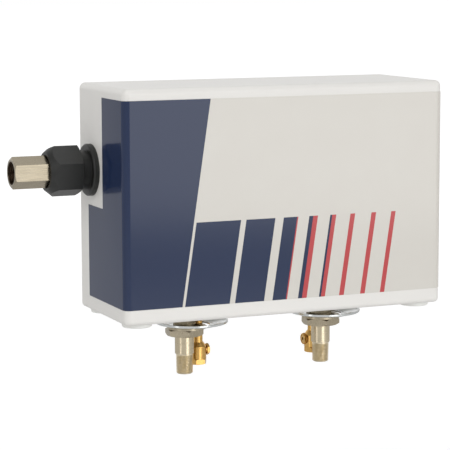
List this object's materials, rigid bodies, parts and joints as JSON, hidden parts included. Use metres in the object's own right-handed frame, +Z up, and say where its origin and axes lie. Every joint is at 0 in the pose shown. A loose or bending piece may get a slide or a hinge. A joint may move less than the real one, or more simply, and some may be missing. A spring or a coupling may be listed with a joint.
{
  "type": "vortex enclosure cooler",
  "caption": "Compressed air cooler for enclosures: a moulded box with a gland inlet at its side, on two hubs with cold air nipples and brass sensing fittings.",
  "frame": {"origin": "midway between the two hub axes, on the plane of the feet's undersides, where the enclosure's roof lies", "axes": "+Z up and away from the enclosure, +X from the left hub to the right hub, the printed front faces -Y"},
  "size_m": [0.4157, 0.129, 0.289],
  "materials": {
    "housing_plastic": "satin moulded",
    "plate_plastic": "satin moulded",
    "printed_film": "gloss printed film",
    "foot_plastic": "soft moulded",
    "screw_steel": "zinc plated",
    "black_nylon": "moulded",
    "black_rubber": "matte",
    "pale_foam": "closed-cell foam",
    "nickel_plate": "nickel plated brass",
    "zinc_sheet": "bright zinc plated",
    "brass": "machined",
    "tube_copper": "drawn tube",
    "tube_steel": "drawn tube",
    "body_aluminium": "machined",
    "white_acetal": "moulded",
    "spring_steel": "spring wire",
    "silencer_bronze": "sintered"
  },
  "bodies": {
    "housing": {"housing_cover": "housing_plastic", "base_plate": "plate_plastic", "wrap_film": "printed_film", "feet": "foot_plastic", "foot_screws": "screw_steel", "gland_body": "black_nylon", "gland_back_nut": "black_nylon", "gland_nut": "black_nylon", "gland_seal": "black_rubber", "inlet_coupling": "nickel_plate", "inlet_pipe": "nickel_plate", "supply_tube": "tube_copper", "tube_nut_upper": "brass", "tube_nut_lower": "brass", "manifold": "brass", "gallery_plug": "brass", "hub_gasket_left": "pale_foam", "cold_nipple_left": "nickel_plate", "seat_ring_left": "nickel_plate", "clamp_washer_left": "zinc_sheet", "hub_locknut_left": "nickel_plate", "generator_body_left": "body_aluminium", "swirl_generator_left": "white_acetal", "body_cap_left": "body_aluminium", "hot_tube_left": "tube_steel", "hot_plug_left": "brass", "hot_muffler_left": "silencer_bronze", "sensor_body_left": "brass", "sensor_arm_nut_left": "brass", "sensor_cap_left": "brass", "sensor_locknut_left": "brass", "sensor_spring_left": "spring_steel", "supply_cap_left": "brass", "supply_spring_left": "spring_steel", "supply_nipple_left": "brass", "pilot_tube_left": "tube_copper", "hub_gasket_right": "pale_foam", "cold_nipple_right": "nickel_plate", "seat_ring_right": "nickel_plate", "clamp_washer_right": "zinc_sheet", "hub_locknut_right": "nickel_plate", "generator_body_right": "body_aluminium", "swirl_generator_right": "white_acetal", "body_cap_right": "body_aluminium", "hot_tube_right": "tube_steel", "hot_plug_right": "brass", "hot_muffler_right": "silencer_bronze", "sensor_body_right": "brass", "sensor_arm_nut_right": "brass", "sensor_cap_right": "brass", "sensor_locknut_right": "brass", "sensor_spring_right": "spring_steel", "supply_cap_right": "brass", "supply_spring_right": "spring_steel", "supply_nipple_right": "brass", "pilot_tube_right": "tube_copper"},
    "supply_poppet_left": {"supply_poppet_left": "brass"},
    "supply_poppet_right": {"supply_poppet_right": "brass"},
    "sensor_poppet_left": {"sensor_poppet_left": "white_acetal"},
    "sensor_poppet_right": {"sensor_poppet_right": "white_acetal"}
  },
  "joints": [
    {"name": "supply_valve_left", "type": "slide", "parent": "housing", "child": "supply_poppet_left", "axis": [0, -1, 0], "range_m": [0, 0.002], "stiffness_N_per_m": 500, "springref_m": -0.001, "deforming": ["supply_spring_left"]},
    {"name": "sensor_valve_left", "type": "slide", "parent": "housing", "child": "sensor_poppet_left", "axis": [0, 0, -1], "range_m": [0, 0.0015], "stiffness_N_per_m": 300, "springref_m": -0.001, "deforming": ["sensor_spring_left"]},
    {"name": "supply_valve_right", "type": "slide", "parent": "housing", "child": "supply_poppet_right", "axis": [0, -1, 0], "range_m": [0, 0.002], "stiffness_N_per_m": 500, "springref_m": -0.001, "deforming": ["supply_spring_right"]},
    {"name": "sensor_valve_right", "type": "slide", "parent": "housing", "child": "sensor_poppet_right", "axis": [0, 0, -1], "range_m": [0, 0.0015], "stiffness_N_per_m": 300, "springref_m": -0.001, "deforming": ["sensor_spring_right"]}
  ]
}
